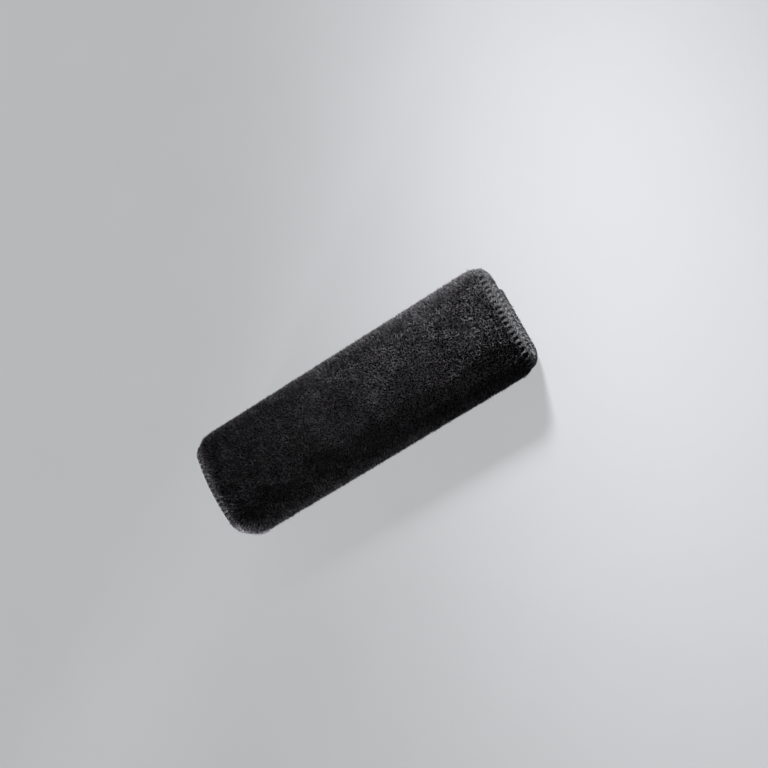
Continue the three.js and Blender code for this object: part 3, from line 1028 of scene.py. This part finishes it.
def pile_pieces():
    """The pile, in strips along the pad, from under the narrow fold round the front to the outer flap."""
    rng = np.random.default_rng(PILE_SEED)
    nap = Nap(rng)
    first_tip = distance_to(COVERED, TIP_DEPTH)
    last_tip = distance_to(PATH_LENGTH - PLUSH_EDGE, TIP_DEPTH)
    flap_tip = distance_to(PATH_LENGTH - OVERLAP_WIDTH, TIP_DEPTH)
    cuts = np.append(np.linspace(first_tip, flap_tip, len(PILE_STRIPS)), last_tip)
    half_pile = HALF_LENGTH - PLUSH_EDGE
    material = polyester_cut_pile()
    pieces = []
    for (name, spacing), start, end in zip(PILE_STRIPS, cuts, cuts[1:]):
        places = scattered((start, end), (-half_pile, half_pile), spacing, rng)
        lean, height, tone = nap.fibres(places)
        spines = spines_of(places, lean, height, FIBRE_HEIGHTS)
        radius = FIBRE_RADIUS * spacing / FIBRE_SPACING * rng.uniform(*FIBRE_RADIUS_RANGE, (len(places), 1))
        shell = fibre_shell(spines, radius, tone, FIBRE_HEIGHTS, rng)
        strays = stray_fibres(nap, (start, end), half_pile, STRAY_SPACINGS * spacing, rng)
        piece = add_mesh(name, *join_shells([shell, strays]))
        piece.data.materials.append(material)
        pieces.append(piece)
    return pieces


def stray_fibres(nap, distances, half_pile, spacing, rng):
    """Single fibres that stand out of the pile, finer and longer than the rest."""
    places = scattered(distances, (-half_pile, half_pile), spacing, rng)
    lean, height, tone = nap.fibres(places)
    across = places[:, 1]
    lean = lean + rng.normal(0, STRAY_LEAN, lean.shape)
    beside_end = smooth_step((np.abs(across) - (HALF_LENGTH - STRAY_END_START)) / STRAY_END_RISE)
    lean[:, 1] += STRAY_END_LEAN * beside_end * np.sign(across)
    reach = HALF_LENGTH + STRAY_OVERHANG
    lean[:, 1] = np.clip(across + lean[:, 1], -reach, reach) - across
    height = height * rng.uniform(*STRAY_LENGTH_RANGE, len(places))
    spines = spines_of(places, lean, height, STRAY_HEIGHTS)
    radii = np.tile(STRAY_RADII, (len(places), 1))
    # The strays' tips get more painted highlight than the pile's
    return fibre_shell(spines, radii, clamp01(tone + STRAY_TONE), STRAY_HEIGHTS, rng)


# The overlock seams

# One stitch of each thread, as places in it: stitches along the run, millimetres in from the edge, level in
# the wall (0 on the lining, 1 on the held pile) and millimetres off that level. The loopers meet at the edge.
UPPER_LOOPER = [
    (0.04, 4.60, 1.00, 0.00),
    (0.08, 3.30, 1.00, 0.50),
    (0.11, 1.80, 0.99, 0.52),
    (0.13, 0.70, 0.84, 0.40),
    (0.20, 0.05, 0.58, 0.00),
    (0.50, -0.12, 0.46, 0.00),
    (0.80, 0.05, 0.58, 0.00),
    (0.87, 0.70, 0.84, 0.40),
    (0.90, 1.80, 0.99, 0.52),
    (0.94, 3.30, 1.00, 0.50),
]
LOWER_LOOPER = [
    (0.12, 3.50, 0.00, -0.20),
    (0.06, 2.00, 0.00, -0.45),
    (-0.01, 0.60, 0.00, -0.42),
    (-0.05, -0.05, 0.10, 0.00),
    (0.10, -0.20, 0.34, 0.00),
    (0.45, -0.15, 0.30, 0.00),
    (0.68, 0.00, 0.10, 0.00),
    (0.77, 0.55, 0.00, -0.40),
    (0.95, 2.00, 0.00, -0.45),
]
EDGE_CHAIN = [
    (0.00, 0.80, 0.92, 0.40),
    (0.25, 0.15, 0.74, 0.30),
    (0.50, 0.65, 0.90, 0.40),
    (0.75, 0.05, 0.70, 0.25),
]
NEEDLE_THREAD = [
    (0.12, 4.30, 1.00, -0.10),
    (0.40, 4.35, 1.00, 0.28),
    (0.84, 4.35, 1.00, 0.28),
]

# The band of yarn under them: the places of its outer face, as above but without the first number, which way
# its inner face lies from each of them (inwards, and off the level), and how thick it is in millimetres
BAND_SECTION = [
    (1.35, 0.92, 0.10),
    (0.85, 0.82, 0.05),
    (0.45, 0.64, 0.00),
    (0.25, 0.42, 0.00),
    (0.35, 0.08, 0.00),
    (0.70, 0.00, -0.12),
    (3.20, 0.00, -0.12),
]
BAND_INWARDS = np.array([0, 1, 1, 1, 1, 1, 0])
BAND_OFF = np.array([-1, -1, 0, 0, 0, 1, 1])
BAND_THICKNESS = 0.45

# The threads' radii, and the plies of an upper looper: how far they lie from its middle, and the steps in
# which they twist once
UPPER_RADIUS = 0.4 * MM
LOWER_RADIUS = 0.32 * MM
CHAIN_RADIUS = 0.34 * MM
NEEDLE_RADIUS = 0.2 * MM
PLIES = 2
PLY_RADIUS = 0.27 * MM
PLY_OFFSET = 0.25 * MM
PLY_TWIST_STEPS = 5.4
THREAD_SIDES = 5

# How much the places in a stitch vary: along the run in stitches, and in from the edge and off the level in
# millimetres
STITCH_SCATTER = (0.035, 0.09, 0.05)


def smooth_line(points, steps):
    """A Catmull-Rom curve through points, with a number of steps between two of them."""
    before = np.concatenate([points[:1], points[:-1]])
    after = np.concatenate([points[1:], points[-1:]])
    further = np.concatenate([after[1:], after[-1:]])
    lines = []
    for step in range(steps):
        t = step / steps
        lines.append(0.5 * (
            2 * points
            + (after - before) * t
            + (2 * before - 5 * points + 4 * after - further) * t ** 2
            + (3 * points - before - 3 * after + further) * t ** 3
        ))
    line = np.stack(lines, axis=1)[:-1].reshape(-1, points.shape[1])
    return np.concatenate([line, points[-1:]])


def stitch_line(stitch, count, steps, rng):
    """The places of a thread through a number of stitches, which vary a little."""
    stitch = np.array(stitch)
    places = np.tile(stitch, (count, 1))
    places[:, 0] += np.repeat(np.arange(count), len(stitch))
    for column, scatter in zip((0, 1, 3), STITCH_SCATTER):
        places[:, column] += rng.normal(0, scatter, len(places))
    places[:, 0] = np.clip(places[:, 0], 0, count)
    return smooth_line(places, steps)


def plied(points):
    """The lines of the plies that twist round each other along a line of points."""
    _, side, up = line_frames(points)
    steps = np.arange(len(points))
    lines = []
    for ply in range(PLIES):
        angle = 2 * np.pi * (steps / PLY_TWIST_STEPS + ply / PLIES)
        lines.append(points + PLY_OFFSET * (np.cos(angle)[:, None] * side + np.sin(angle)[:, None] * up))
    return lines


def yarn_band(place, count):
    """The flattened band of yarn under the threads."""
    runs = np.linspace(0, count, 2 * count + 1)
    section = np.array(BAND_SECTION)
    run_grid, number = np.meshgrid(runs, np.arange(len(section)), indexing="ij")
    inwards, level, off = section[number].transpose(2, 0, 1)
    outer = place(run_grid, inwards * MM, level, off * MM)
    inner = place(
        run_grid,
        (inwards + BAND_THICKNESS * BAND_INWARDS[number]) * MM,
        level,
        (off + BAND_THICKNESS * BAND_OFF[number]) * MM,
    )
    return sheet_shell(inner, outer, runs % 1, np.linspace(0, 1, len(section)))


def overlock_seam(name, node, count, place, is_hidden, material, rng):
    """The threads over one cut edge, and the band of yarn under them. place gives a point from a run in
    stitches, a distance in, a level in the wall and a distance off it, both distances in metres. A seam that
    the pad hides has its upper looper as one plain thread, with fewer steps."""
    def thread_line(stitch, steps):
        places = stitch_line(stitch, count, steps, rng)
        return place(places[:, 0], places[:, 1] * MM, places[:, 2], places[:, 3] * MM)

    def thread(line, radius, stitch, steps):
        return tube_shell(line, radius, THREAD_SIDES, steps * len(stitch))

    steps = 2 if is_hidden else 3
    upper = thread_line(UPPER_LOOPER, steps)
    if is_hidden:
        shells = [thread(upper, UPPER_RADIUS, UPPER_LOOPER, steps)]
    else:
        shells = [thread(line, PLY_RADIUS, UPPER_LOOPER, steps) for line in plied(upper)]
    for stitch, radius, thread_steps in (
        (LOWER_LOOPER, LOWER_RADIUS, 2),
        (EDGE_CHAIN, CHAIN_RADIUS, steps),
        (NEEDLE_THREAD, NEEDLE_RADIUS, 2),
    ):
        shells.append(thread(thread_line(stitch, thread_steps), radius, stitch, thread_steps))
    shells.append(yarn_band(place, count))
    piece = add_mesh(name, *join_shells(shells))
    piece.data.materials.append(material)
    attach(piece, "root")
    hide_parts(node)


def end_seam_place(end, count):
    """Places over the cut edge at one end of the pad, which runs round the whole wall."""
    run_length = part_ends(PLUSH_DEPTH)[-1]

    def place(run, inwards, level, off):
        along = along_from(run / count * run_length, PLUSH_DEPTH)
        depth = level * (PILE_DEPTH + held_pile(along)) + off
        return wall_point(along, depth, end * (1 - inwards / HALF_LENGTH))

    return place


def flap_seam_place(is_inner, count):
    """Places over the cut edge of a flap, between the two end seams."""
    last_share = 1 - PILE_EDGE / HALF_LENGTH

    def place(run, inwards, level, off):
        along = inwards if is_inner else PATH_LENGTH - inwards
        depth = level * (PILE_DEPTH + held_pile(along)) + off
        return wall_point(along, depth, (2 * run / count - 1) * last_share)

    return place


def overlock_seams():
    rng = np.random.default_rng(SEAM_SEED)
    material = textured_looper_thread()
    end_count = int(round(part_ends(PLUSH_DEPTH)[-1] / STITCH_PITCH))
    flap_count = int(round(2 * (HALF_LENGTH - PILE_EDGE) / STITCH_PITCH))
    for name, end in (("right_end", 1), ("left_end", -1)):
        place = end_seam_place(end, end_count)
        overlock_seam(f"{name}_overlock", f"overlock_{name}", end_count, place, False, material, rng)
    for name, is_inner in (("outer_flap", False), ("inner_flap", True)):
        place = flap_seam_place(is_inner, flap_count)
        overlock_seam(f"{name}_overlock", f"overlock_{name}", flap_count, place, True, material, rng)


# The lining

# The size of its faces along the path and along X, how far it stands off the foam between the seams where it
# is slack and where the end seams pucker it, and where those puckers are
LINING_STEP_ALONG = 1.9 * MM
LINING_STEP_ACROSS = 2.8 * MM
SLACK = 0.22 * MM
SLACK_WAVE = 16 * MM
SLACK_RUN = 10 * MM
PUCKER = 0.12 * MM
PUCKER_FROM_END = 9 * MM
PUCKER_SPREAD = 6 * MM


def lining_sheet():
    """The lining inside the slot, a little slack between the folds and puckered by the end seams."""
    slack = random_waves(np.random.default_rng(LINING_SEED), SLACK_WAVE)
    cut = 1 - CUT_EDGE / HALF_LENGTH
    along = even_places(CUT_EDGE, PATH_LENGTH - CUT_EDGE, LINING_STEP_ALONG)
    share = even_places(-cut, cut, LINING_STEP_ACROSS / HALF_LENGTH)
    along_grid, share_grid = np.meshgrid(along, share, indexing="ij")
    across = share_grid * HALF_LENGTH
    from_end = HALF_LENGTH - np.abs(across)
    loose = smooth_step((from_end - SEAM_LAP_INSIDE) / SLACK_RUN)
    puckered = np.exp(-((from_end - PUCKER_FROM_END) / PUCKER_SPREAD) ** 2)
    pucker = puckered * np.sin(along_grid / (2 * STITCH_PITCH) * 2 * np.pi)
    rise = SLACK * loose * (1 + slack(along_grid, across)) + PUCKER * loose * (1 + pucker)
    inner = wall_point(along_grid, -rise, share_grid)
    outer = wall_point(along_grid, LINING, share_grid)
    shell = sheet_shell(inner, outer, along, share * HALF_LENGTH)
    piece = add_mesh("lining_cloth", *shell, uv_name="cloth")
    piece.data.materials.append(brushed_tricot_lining())
    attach(piece, "root")
    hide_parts("lining")


def dress_solids():
    """Finishes for the solids that show as they are."""
    for node, material in (
        ("foam_layer", polyurethane_foam()),
        ("loop_tape", napped_loop_tape()),
        ("hook_tape", woven_hook_tape()),
    ):
        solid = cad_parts[node]
        solid.data.materials.clear()
        solid.data.materials.append(material)


def dress_plush():
    bed = plush_bed()
    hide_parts("plush_fabric")
    for piece in [bed] + pile_pieces():
        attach(piece, "root")


bpy.context.scene.view_settings.view_transform = "Standard"
add_camera()
add_light()
pale_world()
add_floor()
dress_plush()
overlock_seams()
lining_sheet()
dress_solids()
